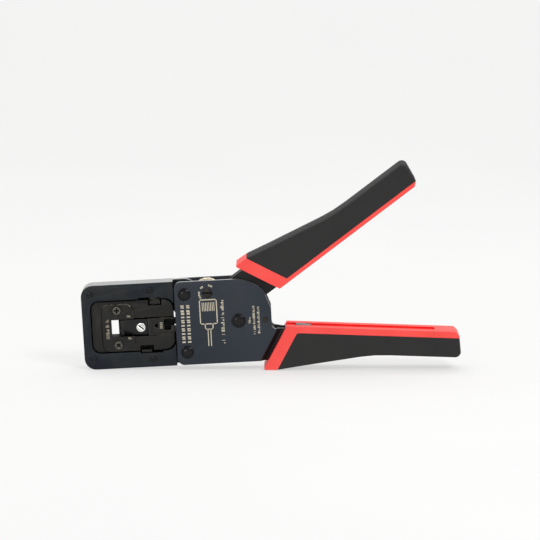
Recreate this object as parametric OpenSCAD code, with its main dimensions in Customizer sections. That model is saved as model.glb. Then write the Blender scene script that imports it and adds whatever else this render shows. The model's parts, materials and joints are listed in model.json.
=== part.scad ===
// Ratchet crimping tool for modular network plugs, standing on its edge with the handles open.
// Working frame: x along the head towards the handles, y through the thickness (front is -y), z up,
// with the main pivot at the origin. stand() turns that frame into the finished part's own frame.

/* [Head] */
// Length of the laminated head, from its left end to the side plates
head_l = 60.3; // [60:0.1:63]
// Height of the head
head_h = 55.8; // [55.4:0.1:57]
// Outer corner radius of the head
head_corner_r = 7.5; // [5:0.5:9]
// Left edge of the side plates, measured from the main pivot
plate_edge = 42; // [41.8:0.1:42]
// Length of the window that holds the die
window_l = 54.8; // [54.4:0.1:55]
// Height of the window that holds the die
window_h = 35; // [34.8:0.1:36]
// Corner radius of the window
window_corner_r = 5.5; // [4:0.5:6]
// Thickness of the core plate in the middle of the head
core_t = 12; // [12:0.1:13]
// Thickness of the head's two face plates
head_face_t = 1.2; // [1:0.1:1.5]
// Thickness of each side plate
face_t = 2.5; // [2.2:0.1:3]

/* [Pins] */
// Radius of the main pivot pin
pivot_r = 3.8; // [3.4:0.1:3.8]
// Radius of the two frame pins
frame_pin_r = 3.4; // [3:0.1:3.5]
// Radius of the rivets in the head
rivet_r = 1.85; // [1.5:0.05:2]
// Radius of the pawl's pin
pawl_pin_r = 1.85; // [1.5:0.05:1.9]
// Radius of the adjuster pin
adjuster_r = 3.3; // [3:0.1:3.4]
// Radius of the adjusting wheel
wheel_r = 9.1; // [8.8:0.1:9.3]

/* [Handles] */
// Angle of the upper handle above the head's axis when open
open_angle = 34.5; // [33:0.5:36]
// Angle of the lower handle below the head's axis
lower_angle = 4.96; // [4.5:0.02:5.2]
// Angle that the upper handle swings through to close
swing = 38; // [34:1:38]
// Width of both grips, front to rear
grip_w = 22; // [20:0.5:24]

/* [Toggle] */
// Distance from the main pivot to the crank pin
crank_r = 9; // [8.8:0.1:9.2]
// Angle of the crank pin below the head's axis when open
crank_angle = 50; // [48:1:52]
// Length of the toggle link between its pins
link_l = 30; // [29.5:0.1:30.5]
// Extra radius of the link's eye round the ram pin, where the linkage is left open
open_pivot_play = 0.65; // [0.6:0.05:0.7]

/* [Plug nest] */
// Height of the nest that takes the plug's width
nest_h = 12.4; // [12.2:0.1:12.6]
// Number of contact blades
blades = 8; // [4:2:8]
// Distance between neighbouring contacts
blade_pitch = 1.02; // [1:0.01:1.04]

/* [Hidden] */
$fn = 48;

// Clearances
fit_gap = 0.02;
running_gap = 0.05;
slide_gap = 0.3;
over = 1;

// Frame
head_tilt = 3.04;
head_right = -plate_edge;
head_left = head_right - head_l;
head_top = head_h / 2;
window_left = head_right - window_l;
window_top = window_h / 2;
core_y = core_t / 2;
head_face_y = core_y + head_face_t;
face_y = core_y + face_t;
window_right = head_right + 0.6;
window_right_r = 7;
// Shallow reliefs above and below the window, behind the die's two retainers: left end, depth and length
relief_top = [-65, 0.85, 14.5];
relief_bottom = [-65.4, 1.1, 15];
// A narrower window in the rear face plate gives the die a ledge to rest against
rear_ledge = 1.2;
rear_window_right = -43.4;
rear_window_r = [5, 4.5, 4.5, 5];
prong_y = 2;
// Retainers: ends, lip over the die's edge, depth of the root in the core
upper_retainer = [-57.8, -50.9];
lower_retainer = [-64.6, -57.9];
upper_lip = [13.6, 15.9];
lower_lip = [-18.5, -16.5];
retainer_root = 20.5;
retainer_rear = -3;
channel_top = 6.2;
channel_bottom = -5.95;
frame_pin_u = -34.7;
frame_pin_v = 19.2;
adjuster = [-19.6, 19.2];
pawl_pin_at = [17.4, -0.3];
head_rivets_at = [[-96.4, 21.6], [-96.2, -21.3], [-57.1, 22.6], [-57.1, -23.2]];
ring_w = 0.85;
ring_t = 0.4;
pin_y = face_y + 0.2;

// Standing on a flat surface: the head's lower left corner sets the height, and the grips the centre
corner = [head_left + head_corner_r, -head_top + head_corner_r];
stand_z = head_corner_r - corner.x * sin(head_tilt) - corner.y * cos(head_tilt);
reach_left = head_corner_r - corner.x * cos(head_tilt) - corner.y * sin(head_tilt);
reach_right = 145.4;
stand_x = (reach_left - reach_right) / 2;

// Side plates
side_left = head_right + 0.8;
side_top = 27.6;
side_bottom = -27.6;
side_corner_r = 4.5;
side_right = 21.4;
shoulder_r = 14.6;
bend_at = [18.5, -17.6];
bend_angle = 30;
bend_run = 2.6;
bend_drop = 2.5;
tang_y = core_y - bend_drop;

// Grips, measured along each handle's inner line and outwards from it
lower_start = [31.5, 2.28];
upper_start = [34.5, 0.74];
collar_w = 8.9;
lower_band = 4.2;
upper_band = 2.6;
groove_w = 9;
groove_d = 1.2;
groove_l = 97;
tang_end = 118;
// Each tang narrows inside its grip: first along its outer edge, then back along its inner edge
lower_tang = [[40, 25.4], [60, 18.5], [tang_end, 12.5], [tang_end, 7.5], [60, 6.5], [36, 4.6]];
upper_tang = [[42, 24.9], [60, 18.5], [tang_end, 12.5], [tang_end, 7.2], [60, 6.2], [38, 4.3]];
pocket_gap = 0.1;
pocket_play = 0.05;

// Lever
lever_t = 3;
lever_gap = 5;
lever_y = lever_gap / 2 + lever_t;
hub_r = 13;
hub_from = 17;
hub_to = -250;
first_tooth = -open_angle - 44;
tooth_tip_r = 13.8;
tooth_root_r = 12.9;
tooth_pitch = 4;
teeth = ceil(swing / tooth_pitch);
spacer_from = 16;
// The arm is deeper between the pawl and the grip
arm_from = 22;
arm_to = 33.2;
arm_inner = 2.3;
handle_rivets_at = [[50, 13], [95, 11]];
handle_rivet_r = 2;

// Toggle and ram
crank_pin_r = 1.75;
ram_pin_r = 2;
link_t = 4.4;
crank_at = [-crank_r * cos(crank_angle), -crank_r * sin(crank_angle)];
ram_pin_u = crank_at.x - sqrt(link_l * link_l - crank_at.y * crank_at.y);
link_angle = asin(-crank_at.y / link_l);
ram_y = 5.6;
ram_top = 5.9;
ram_bottom = channel_bottom + 0.35;
ram_left = -41.2;
ram_right = -29.6;
// Only the ram's lower nose runs into the die
ram_nose_l = 3;
fork_from = -40.4;
hook_left = -48.8;
hook_right = -44.4;
hook_top = 3.2;
hook_bottom = -3.85;
hook_y = 3;
neck_top = 2.7;
neck_bottom = -0.9;
hook_gap = 0.2;

// Die set, with its middle line a little below the head's
die_mid = -1.2;
die_y = core_y - 0.1;
cover_t = 1.3;
cover_y = die_y + cover_t;
die_left = window_left + 0.7;
die_right = -42.6;
die_top = window_top - 0.9;
die_bottom = -window_top + 0.6;
die_corner_r = [6.5, window_corner_r - 0.6, window_corner_r - 0.6, 6.5];
nest_left = -88.2;
nest_right = -79.4;
nest_top = die_mid + nest_h / 2;
nest_bottom = die_mid - nest_h / 2;
lip_t = 1.5;
lip_y = die_y - lip_t;
front_window_left = -83.4;
front_window_h = 11.2;
slide_open_from = -78;
// Pockets in the die's front for the two retainers
upper_pocket = [-58.8, -50];
upper_pocket_bottom = 12.7;
lower_pocket = [-65.5, -56.4];
lower_pocket_top = -13.4;
pocket_rear = retainer_rear + 0.4;
rib_left = -68.6;
rib_right = -46;
rib_h = 1.2;
rib_y = 2;
groove_left = -73;
// Right of this step the channel's floor is higher
ledge_left = -49.9;
rear_notch = [-45, -3.4];
cover_left = -89.9;
cover_right = -68.7;
cover_top = 15;
cover_corner_r = [5.5, 4.5, 4.5, 1];
cover_screws_at = [[-79.5, 10.5], [-79.5, -12.5]];
cover_screws_turn = [0, 45];
cover_screw_r = 1.45;
cover_head_r = 2.75;
counterbore_r = 3.2;
counterbore_d = 0.7;
slide_top = nest_top - 0.7;
slide_bottom = nest_bottom + 0.3;
slide_rear = 5.5;
carrier_left = -76;
drive_left = -59.2;
drive_right = -42.6;
drive_y = 6.2;
toe_right = -41.5;
toe_top = -3.1;
toe_bottom = channel_bottom + 0.45;
dowel_hole_at = [-54, -0.9];
dowel_hole_r = 1.4;
punch_left = -77.5;
punch_right = -59.3;
punch_top = slide_top - 0.6;
punch_bottom = die_mid - front_window_h / 2 + slide_gap;
punch_y = 5.2;
punch_nose = -75.6;
punch_step = 0.8;
punch_screw_at = [-64.3, -1.7];
punch_head_r = 3;
punch_shank_r = 1.4;
blade_tip = -78.7;
blade_end = -74;
blade_t = 0.36;
blade_y = [-4.25, -0.95];
blade_slot_gap = 0.02;

function arc(c, r, a0, a1, steps = 10) =
    [for (i = [0:steps]) let (a = a0 + (a1 - a0) * i / steps) [c.x + r * cos(a), c.y + r * sin(a)]];

function corner_arc(c, r, from) = r > 0 ? arc(c, r, from, from + 90) : [c];

// A rectangle with its own radius at each corner: upper right, upper left, lower left, lower right
function rounded(u0, v0, u1, v1, r) = concat(
    corner_arc([u1 - r[0], v1 - r[0]], r[0], 0),
    corner_arc([u0 + r[1], v1 - r[1]], r[1], 90),
    corner_arc([u0 + r[2], v0 + r[2]], r[2], 180),
    corner_arc([u1 - r[3], v0 + r[3]], r[3], 270));

// A point s along the lower handle's inner line and w outwards from it
function low(s, w) =
    [s * cos(lower_angle) - w * sin(lower_angle), -s * sin(lower_angle) - w * cos(lower_angle)];

module stand() {
    translate([stand_x, 0, stand_z]) rotate([0, -head_tilt, 0]) children();
}

// Extrudes an outline drawn in x and z from y0 to y1
module slab(y0, y1) {
    translate([0, y1, 0]) rotate([90, 0, 0]) linear_extrude(height = y1 - y0) children();
}

// A round bar along y, centred on at = [x, z]
module bar(at, r, y0, y1) {
    translate([at.x, y1, at.y]) rotate([90, 0, 0]) cylinder(h = y1 - y0, r = r);
}

module block(u0, u1, y0, y1, v0, v1) {
    translate([u0, y0, v0]) cube([u1 - u0, y1 - y0, v1 - v0]);
}

// Children are drawn with x along the handle and z outwards from its inner line
module on_upper() {
    rotate([0, -open_angle, 0]) children();
}

module on_lower() {
    rotate([0, lower_angle, 0]) mirror([0, 0, 1]) children();
}

// A round wire through the given points, as one closed sweep
module wire(points, r, sides = 8) {
    last = len(points) - 1;
    rings = [for (i = [0:last])
        let (
            ahead = points[min(i + 1, last)] - points[max(i - 1, 0)],
            t = ahead / norm(ahead),
            n = cross(t, [0, 1, 0.001]),
            a = n / norm(n),
            b = cross(t, a)
        )
        [for (k = [0:sides - 1]) points[i] + r * (cos(360 * k / sides) * a + sin(360 * k / sides) * b)]];
    verts = [for (ring = rings) for (p = ring) p];
    walls = [for (i = [0:last - 1]) for (k = [0:sides - 1])
        let (k2 = (k + 1) % sides)
        [i * sides + k, i * sides + k2, (i + 1) * sides + k2, (i + 1) * sides + k]];
    start_cap = [for (k = [sides - 1:-1:0]) k];
    end_cap = [for (k = [0:sides - 1]) last * sides + k];
    polyhedron(points = verts, faces = concat(walls, [start_cap, end_cap]));
}

// ---------- frame ----------

module head_plate() {
    polygon(rounded(head_left, -head_top, head_right, head_top, [0, head_corner_r, head_corner_r, 0]));
}

module head_window() {
    corner_r = [window_right_r, window_corner_r, window_corner_r, window_right_r];
    polygon(rounded(window_left, -window_top, window_right, window_top, corner_r));
    translate([relief_top.x, 0]) square([relief_top.z, window_top + relief_top.y]);
    translate([relief_bottom.x, -window_top - relief_bottom.y]) square([relief_bottom.z, window_top]);
}

module rear_window() {
    polygon(rounded(window_left + rear_ledge, -window_top + rear_ledge, rear_window_right,
        window_top - rear_ledge, rear_window_r));
    translate(rear_notch) square([5, channel_top - rear_notch.y]);
}

module rivet_holes() {
    for (at = head_rivets_at) bar(at, rivet_r + fit_gap, -head_face_y - over, head_face_y + over);
}

module head_face_front() {
    color([0.13, 0.17, 0.23]) stand() difference() {
        slab(-head_face_y, -core_y) difference() {
            head_plate();
            head_window();
        }
        rivet_holes();
    }
}

module head_face_rear() {
    color([0.13, 0.17, 0.23]) stand() difference() {
        slab(core_y, head_face_y) difference() {
            head_plate();
            rear_window();
        }
        rivet_holes();
    }
}

// The core runs on between the side plates as two thinner prongs, one above and one below the ram
module head_core() {
    end_r = head_top - frame_pin_v;
    prong_end = arc([frame_pin_u, frame_pin_v], end_r, 90, 0);
    upper = concat([[head_right - 0.01, channel_top], [head_right - 0.01, head_top]], prong_end,
        [[frame_pin_u + end_r, channel_top]]);
    lower = concat([[head_right - 0.01, channel_bottom], [head_right - 0.01, -head_top]],
        [for (p = prong_end) [p.x, -p.y]], [[frame_pin_u + end_r, channel_bottom]]);
    color([0.16, 0.19, 0.24]) stand() difference() {
        union() {
            slab(-core_y, core_y) difference() {
                head_plate();
                head_window();
            }
            slab(prong_y, core_y) polygon(upper);
            slab(prong_y, core_y) polygon(lower);
        }
        rivet_holes();
        for (side = [-1, 1])
            bar([frame_pin_u, side * frame_pin_v], frame_pin_r + fit_gap, -core_y - over, core_y + over);
        retainer_upper(0.1);
        retainer_lower(0.1);
    }
}

module head_rivets() {
    head_r = rivet_r + 0.15;
    dimple_r = 0.8;
    color([0.1, 0.11, 0.13]) stand() for (at = head_rivets_at) {
        bar(at, rivet_r, -head_face_y, head_face_y);
        for (side = [-1, 1]) let (middle = side * (head_face_y + ring_t / 2)) difference() {
            bar(at, head_r, middle - ring_t / 2, middle + ring_t / 2);
            bar(at, dimple_r, middle + side * ring_t / 2 - 0.3, middle + side * ring_t / 2 + 0.3);
        }
    }
}

// A retainer's lip stands over the die's edge, and its thinner root is held in the core
module retainer(ends, lip, root, gap) {
    lip_y0 = -core_y - (gap > 0 ? over : 0);
    root_y0 = -core_y + 1.4 - gap;
    rear_y = retainer_rear + gap;
    block(ends[0] - gap, ends[1] + gap, lip_y0, rear_y, lip[0], lip[1]);
    block(ends[0] - gap, ends[1] + gap, root_y0, rear_y,
        min(lip[0], root) - gap, max(lip[0], root) + gap);
}

module retainer_upper(gap) {
    retainer(upper_retainer, upper_lip, retainer_root, gap);
}

module retainer_lower(gap) {
    retainer(lower_retainer, lower_lip, -retainer_root, gap);
}

module die_retainer_upper() {
    color([0.2, 0.2, 0.2]) stand() retainer_upper(0);
}

module die_retainer_lower() {
    color([0.2, 0.2, 0.2]) stand() retainer_lower(0);
}

module side_outline() {
    fillet_r = 3;
    fillet_c = [side_right + fillet_r, -3.7];
    polygon(concat(
        arc([side_left + side_corner_r, side_bottom + side_corner_r], side_corner_r, 180, 270),
        [[19.6, side_bottom]],
        [for (p = lower_tang) low(p.x, p.y)],
        arc(fillet_c, fillet_r, 265, 180),
        [[side_right, 7.5]],
        arc([4.5, 11], shoulder_r, 20, 60),
        arc([-3, -2], side_top + 2, 60, 90),
        arc([side_left + side_corner_r, side_top - side_corner_r], side_corner_r, 90, 180)));
}

// Front plate: flat over the body, then joggled inwards across the bend line to the tang
module side_plate() {
    reach = 160;
    difference() {
        intersection() {
            slab(-face_y - over, face_y + over) side_outline();
            translate([bend_at.x, 0, bend_at.y]) rotate([0, bend_angle, 0])
                linear_extrude(height = reach, center = true) polygon([
                    [-reach, -face_y], [0, -face_y],
                    [bend_run, -face_y + bend_drop], [reach, -face_y + bend_drop],
                    [reach, -tang_y], [bend_run, -tang_y],
                    [0, -core_y], [-reach, -core_y]]);
        }
        bar([0, 0], pivot_r + fit_gap, -face_y - over, 0);
        bar(adjuster, adjuster_r + running_gap, -face_y - over, 0);
        bar(pawl_pin_at, pawl_pin_r + fit_gap, -face_y - over, 0);
        for (side = [-1, 1])
            bar([frame_pin_u, side * frame_pin_v], frame_pin_r + fit_gap, -face_y - over, 0);
        for (at = handle_rivets_at)
            bar(low(at.x, at.y), handle_rivet_r + fit_gap, -face_y - over, 0);
    }
}

module side_plate_front() {
    color([0.23, 0.25, 0.29]) stand() side_plate();
}

module side_plate_rear() {
    color([0.23, 0.25, 0.29]) stand() mirror([0, 1, 0]) side_plate();
}

module frame_pin_upper() {
    color([0.12, 0.12, 0.13]) stand() bar([frame_pin_u, frame_pin_v], frame_pin_r, -pin_y, pin_y);
}

module frame_pin_lower() {
    color([0.12, 0.12, 0.13]) stand() bar([frame_pin_u, -frame_pin_v], frame_pin_r, -pin_y, pin_y);
}

module main_pivot_pin() {
    color([0.12, 0.12, 0.13]) stand() bar([0, 0], pivot_r, -pin_y, pin_y);
}

module pawl_pin() {
    color([0.2, 0.18, 0.15]) stand() bar(pawl_pin_at, pawl_pin_r, -face_y, face_y);
}

module ring(at, inner_r, y0) {
    difference() {
        bar(at, inner_r + ring_w, y0, y0 + ring_t);
        bar(at, inner_r, y0 - over, y0 + ring_t + over);
    }
}

module retaining_rings() {
    color([0.15, 0.16, 0.18]) stand() for (y0 = [-face_y - ring_t, face_y]) {
        ring([0, 0], pivot_r + running_gap, y0);
        ring([frame_pin_u, frame_pin_v], frame_pin_r + running_gap, y0);
        ring([frame_pin_u, -frame_pin_v], frame_pin_r + running_gap, y0);
    }
}

module tang_spacer() {
    color([0.15, 0.15, 0.16]) stand() difference() {
        slab(-tang_y, tang_y) polygon([low(25, 5.4), low(25, 24.8), low(39, 24.8), low(60, 18.2),
            low(tang_end - 1, 12.2), low(tang_end - 1, 8), low(60, 7), low(36, 5.4)]);
        for (at = handle_rivets_at) bar(low(at.x, at.y), handle_rivet_r + fit_gap, -core_y, core_y);
    }
}

module tang_rivets() {
    color([0.3, 0.3, 0.32]) stand()
        for (at = handle_rivets_at) bar(low(at.x, at.y), handle_rivet_r, -core_y, core_y);
}

// ---------- grips ----------

// Outer edge of a grip, from the front collar to the rounded end
grip_outer = [[-3.8, 29.2], [11.3, 26.1], [32.9, 21.9], [49, 18.9], [58, 17.7], [68, 17.3], [87, 17.2]];
grip_front = [-14.2, 29.6];
grip_end = 114;
grip_end_r = 3.8;
// How far the collar's front face leans forwards, and the corner radius of each black part beside it
collar_lean = atan(-grip_front.x / grip_front.y);
lower_corner_r = 2.6;
upper_corner_r = 1.2;

module grip_full() {
    polygon(concat([[0, 0], grip_front + [0.3, -0.8], grip_front + [1, 0]], grip_outer,
        arc([grip_end + 0.6 - grip_end_r, 17.2 - grip_end_r], grip_end_r, 90, 6, 6),
        [[grip_end - 0.9, 2.6], [grip_end - 3.8, 0]]));
}

// The black part leaves the collar and a band along the inner edge to the red part
module black_region(band, corner_r) {
    beyond = 40;
    past_end = 200;
    foot = collar_w - band * tan(collar_lean);
    corner_run = corner_r * tan(45 - collar_lean / 2);
    polygon(concat(
        arc([foot + corner_run, band + corner_r], corner_r, 270, 180 + collar_lean),
        [[foot - (beyond - band) * tan(collar_lean), beyond], [past_end, beyond], [past_end, band]]));
}

// Room for a tang and its open end, a little larger than the tang
module tang_pocket(tang, y) {
    mouth_gap = 0.5;
    inner = tang[5].y - pocket_gap;
    outer = tang[0].y + mouth_gap;
    slab(-y, y) polygon([[0, outer], tang[0] + [0, mouth_gap], tang[1] + [0, pocket_gap],
        tang[2] + [pocket_gap, pocket_gap], tang[3] + [pocket_gap, -pocket_gap], tang[4] - [0, pocket_gap],
        tang[5] - [0, pocket_gap], [0, inner]]);
}

module grip_core(start, band, corner_r, tang, pocket_y) {
    difference() {
        translate([start.x, 0, start.y]) slab(-grip_w / 2, grip_w / 2) difference() {
            grip_full();
            black_region(band, corner_r);
        }
        tang_pocket(tang, pocket_y);
        translate([start.x, 0, start.y])
            block(-20, groove_l, -groove_w / 2, groove_w / 2, -over, groove_d);
    }
}

module grip_overmould(start, band, corner_r, tang, pocket_y) {
    difference() {
        translate([start.x, 0, start.y]) slab(-grip_w / 2, grip_w / 2) intersection() {
            grip_full();
            black_region(band, corner_r);
        }
        tang_pocket(tang, pocket_y);
    }
}

module lower_grip_core() {
    color([1, 0.33, 0.3]) stand() on_lower()
        grip_core(lower_start, lower_band, lower_corner_r, lower_tang, core_y + pocket_play);
}

module lower_grip_overmould() {
    color([0.2, 0.2, 0.19]) stand() on_lower()
        grip_overmould(lower_start, lower_band, lower_corner_r, lower_tang, core_y + pocket_play);
}

module upper_grip_core() {
    color([1, 0.33, 0.3]) stand() on_upper()
        grip_core(upper_start, upper_band, upper_corner_r, upper_tang, lever_y + pocket_play);
}

module upper_grip_overmould() {
    color([0.2, 0.2, 0.19]) stand() on_upper()
        grip_overmould(upper_start, upper_band, upper_corner_r, upper_tang, lever_y + pocket_play);
}

module grip_insert() {
    insert_from = 6;
    insert_l = 10.5;
    color([0.08, 0.08, 0.08]) stand() on_lower()
        translate([lower_start.x + insert_from, 0, lower_start.y + 0.1]) intersection() {
            translate([0, -groove_w / 2 + 0.15, 0]) cube([insert_l, groove_w - 0.3, groove_d - 0.15]);
            translate([insert_l - groove_w / 2, 0, -over]) union() {
                cylinder(h = 4, r = groove_w / 2 - 0.1);
                translate([-20, -groove_w / 2, 0]) cube([20, groove_w, 4]);
            }
        }
}

// ---------- lever ----------

function hub_arc(a0, a1) = arc([0, 0], hub_r, a0, a1, ceil((a0 - a1) / 7));

// Goes round the tang, along the arm's deeper part in front of the grip, then round the hub to its back
function lever_outline(hub) = concat(
    upper_tang,
    [[arm_to, upper_tang[5].y], [arm_to, arm_inner], [arm_from, arm_inner]],
    [[arm_from - 2, upper_tang[5].y], [14, upper_tang[5].y]],
    hub,
    [[8, 22.9], [8.6, 24.3], [10, 24.9]]);

// The hub of the front plate, with the ratchet teeth cut into its lower edge
function toothed_hub() = concat(
    hub_arc(hub_from, first_tooth + teeth * tooth_pitch),
    [for (i = [teeth - 1:-1:0])
        let (
            root_a = first_tooth + i * tooth_pitch,
            tip_a = root_a + 0.85 * tooth_pitch
        )
        each [tooth_tip_r * [cos(tip_a), sin(tip_a)], tooth_root_r * [cos(root_a), sin(root_a)]]],
    hub_arc(first_tooth - 1, hub_to));

module lever_holes() {
    crank = crank_angle + 180 - open_angle;
    bar([0, 0], pivot_r + running_gap, -lever_y - over, lever_y + over);
    bar(crank_r * [cos(crank), sin(crank)], crank_pin_r + fit_gap, -lever_y - over, lever_y + over);
    for (at = handle_rivets_at) bar(at, handle_rivet_r + fit_gap, -lever_y - over, lever_y + over);
}

module lever_plate_front() {
    color([0.16, 0.16, 0.17]) stand() on_upper() difference() {
        slab(-lever_y, -lever_gap / 2) polygon(lever_outline(toothed_hub()));
        lever_holes();
    }
}

module lever_plate_rear() {
    color([0.16, 0.16, 0.17]) stand() on_upper() difference() {
        slab(lever_gap / 2, lever_y) polygon(lever_outline(hub_arc(hub_from, hub_to)));
        lever_holes();
    }
}

module lever_spacer() {
    color([0.12, 0.12, 0.13]) stand() on_upper() difference() {
        slab(-lever_gap / 2, lever_gap / 2)
            polygon([[spacer_from, 4.5], [38, 4.5], [60, 6.4], [tang_end - 1, 7.4], [tang_end - 1, 12.3],
                [60, 18.3], [42, 24.7], [spacer_from, 24.7]]);
        for (at = handle_rivets_at) bar(at, handle_rivet_r + fit_gap, -lever_y, lever_y);
    }
}

module lever_rivets() {
    color([0.3, 0.3, 0.32]) stand() on_upper()
        for (at = handle_rivets_at) bar(at, handle_rivet_r, -lever_y, lever_y);
}

module crank_pin() {
    color([0.5, 0.5, 0.52]) stand() bar(crank_at, crank_pin_r, -lever_y, lever_y);
}

// ---------- toggle, ram and ratchet ----------

module toggle_link() {
    eye_r = 3.3;
    far_eye_r = 4.4;
    color([0.45, 0.45, 0.47]) stand() translate([crank_at.x, 0, crank_at.y]) rotate([0, link_angle, 0])
        difference() {
            slab(-link_t / 2, link_t / 2) union() {
                circle(r = eye_r);
                translate([-link_l, 0]) circle(r = far_eye_r);
                polygon([[-1, -2.5], [-1, 2.5], [-link_l + 1, 3.2], [-link_l + 1, -3.2]]);
            }
            bar([0, 0], crank_pin_r + running_gap, -link_t, link_t);
            bar([-link_l, 0], ram_pin_r + open_pivot_play, -link_t, link_t);
        }
}

module ram() {
    color([0.4, 0.4, 0.42]) stand() difference() {
        union() {
            block(ram_left + ram_nose_l, ram_right, -ram_y, ram_y, ram_bottom, ram_top);
            block(ram_left, ram_left + ram_nose_l + over, -ram_y, ram_y, ram_bottom, nest_top - 0.4);
            block(hook_left, ram_left + over, -hook_y, hook_y, neck_bottom, neck_top);
            block(hook_left, hook_right, -hook_y, hook_y, hook_bottom, hook_top);
        }
        block(fork_from, ram_right + over, -lever_gap / 2, lever_gap / 2, -ram_top - over, ram_top + over);
        bar([ram_pin_u, 0], ram_pin_r + fit_gap, -ram_y - over, ram_y + over);
    }
}

module ram_pin() {
    color([0.5, 0.5, 0.52]) stand() bar([ram_pin_u, 0], ram_pin_r, -ram_y, ram_y);
}

// A curved pawl whose nose stands just clear of the ratchet teeth
module ratchet_pawl() {
    inner_r = 14.4;
    outer_r = 17.6;
    nose_r = 14.15;
    nose_a = -42;
    color([0.4, 0.38, 0.34]) stand() difference() {
        slab(-lever_y + 0.1, -lever_gap / 2 - 0.1) union() {
            translate(pawl_pin_at) circle(r = 2.9);
            polygon(concat(arc([0, 0], inner_r, -10, -38), [nose_r * [cos(nose_a), sin(nose_a)]],
                arc([0, 0], outer_r, -40, -4)));
        }
        bar(pawl_pin_at, pawl_pin_r + running_gap, -face_y, face_y);
    }
}

// Points of a coil round y; a negative number of turns winds it the other way
function coil(at, r, y0, pitch, turns, from, steps) =
    [for (i = [0:steps]) let (a = from + 360 * turns * i / steps)
        [at.x + r * cos(a), y0 + pitch * abs(turns) * i / steps, at.y + r * sin(a)]];

// Torsion spring round the main pivot, between the lever plates
module return_spring() {
    wire_r = 0.45;
    coil_r = 4.75;
    fixed_end = [22.6, -1.7, -13];
    moving_end = [5.2, 1.7, 19.2];
    turns = -3.277;
    color([0.6, 0.6, 0.62]) stand()
        wire(concat([fixed_end], coil([0, 0], coil_r, -1.7, 1.02, turns, 250.6, 54), [moving_end]), wire_r);
}

// Torsion spring round the pawl pin
module pawl_spring() {
    wire_r = 0.3;
    coil_r = 2.4;
    fixed_end = [22.9, -1.9, -7];
    moving_end = [13.2, 0.9, -7.6];
    turns = 3.6;
    color([0.6, 0.6, 0.62]) stand()
        wire(concat([fixed_end], coil(pawl_pin_at, coil_r, -1.9, 0.75, turns, 20, 50), [moving_end]),
            wire_r);
}

module adjuster_pin() {
    slot_w = 1.2;
    recess = 0.8;
    end_y = face_y - recess;
    color([0.25, 0.23, 0.2]) stand() difference() {
        bar(adjuster, adjuster_r, -end_y, end_y);
        for (y0 = [-end_y - over, end_y - 0.6])
            block(adjuster.x - adjuster_r, adjuster.x + adjuster_r, y0, y0 + over + 0.6,
                adjuster.y - slot_w / 2, adjuster.y + slot_w / 2);
    }
}

// Thumb wheel with shallow scallops round its rim
module adjuster_wheel() {
    scallops = 18;
    scallop_r = 0.8;
    front = -2;
    rear = 1;
    color([0.82, 0.75, 0.65]) stand() difference() {
        bar(adjuster, wheel_r, front, rear);
        bar(adjuster, adjuster_r + fit_gap, front - over, rear + over);
        for (i = [0:scallops - 1]) let (a = (i + 0.5) * 360 / scallops)
            bar(adjuster + (wheel_r + 0.55) * [cos(a), sin(a)], scallop_r, front - over, rear + over);
    }
}

// ---------- die set ----------

module cover_screw_holes(y0, y1) {
    for (at = cover_screws_at) bar(at, cover_screw_r + 0.05, y0, y1);
}

module die_body() {
    lip_front = -die_y - over;
    lip_rear = -lip_y + over;
    half_window = front_window_h / 2;
    color([0.2, 0.18, 0.16]) stand() difference() {
        slab(-die_y, die_y) polygon(rounded(die_left, die_bottom, die_right, die_top, die_corner_r));
        block(nest_left, ledge_left, -lip_y, die_y + over, nest_bottom, nest_top);
        block(slide_open_from, ledge_left, lip_front, lip_rear, nest_bottom, nest_top);
        block(ledge_left - over, 0, lip_front, die_y + over, channel_bottom, nest_top);
        block(front_window_left, slide_open_from + over, lip_front, lip_rear,
            die_mid - half_window, die_mid + half_window);
        block(groove_left, 0, -rib_y - slide_gap, rib_y + slide_gap,
            nest_bottom - rib_h - slide_gap, nest_top + rib_h + slide_gap);
        block(upper_pocket[0], upper_pocket[1], lip_front, pocket_rear,
            upper_pocket_bottom, die_top + over);
        block(lower_pocket[0], lower_pocket[1], lip_front, pocket_rear,
            die_bottom - over, lower_pocket_top);
        cover_screw_holes(lip_front, die_y + over);
    }
}

module counterbores() {
    for (at = cover_screws_at) bar(at, counterbore_r, -cover_y - over, -cover_y + counterbore_d);
}

module die_cover_plate() {
    color([0.2, 0.18, 0.16]) stand() difference() {
        slab(-cover_y, -die_y)
            polygon(rounded(cover_left, die_bottom, cover_right, cover_top, cover_corner_r));
        block(front_window_left, cover_right + over, -cover_y - over, 0,
            die_mid - front_window_h / 2, die_mid + front_window_h / 2);
        cover_screw_holes(-cover_y - over, 0);
        counterbores();
    }
}

module die_rear_cover() {
    gap = 0.4;
    top = window_top - rear_ledge - gap;
    color([0.2, 0.18, 0.16]) stand() difference() {
        slab(die_y, cover_y)
            polygon(rounded(window_left + rear_ledge + gap, -top, rear_window_right - gap, top,
                rear_window_r));
        block(nest_left, nest_right, die_y - over, cover_y + over, nest_bottom, nest_top);
        block(rear_notch.x, head_right + over, die_y - over, cover_y + over, rear_notch.y, channel_top);
        cover_screw_holes(0, cover_y + over);
        mirror([0, 1, 0]) counterbores();
    }
}

// Pan-head screw with a cross recess, its head sunk in a counterbore
module cross_screw(at, turn) {
    head_front = -cover_y - 0.2;
    recess_d = 0.7;
    recess_w = 0.95;
    recess_l = 3.6;
    difference() {
        union() {
            bar(at, cover_head_r, head_front, -cover_y + counterbore_d);
            bar(at, cover_screw_r, -cover_y, -0.5);
        }
        for (arm = [0, 90]) translate([at.x, head_front, at.y]) rotate([0, turn + arm, 0])
            cube([recess_l, 2 * recess_d, recess_w], center = true);
    }
}

module cross_screws() {
    for (i = [0:1]) cross_screw(cover_screws_at[i], cover_screws_turn[i]);
}

module cover_screws() {
    color([0.45, 0.45, 0.46]) stand() cross_screws();
}

module rear_cover_screws() {
    color([0.45, 0.45, 0.46]) stand() mirror([0, 1, 0]) cross_screws();
}

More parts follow.
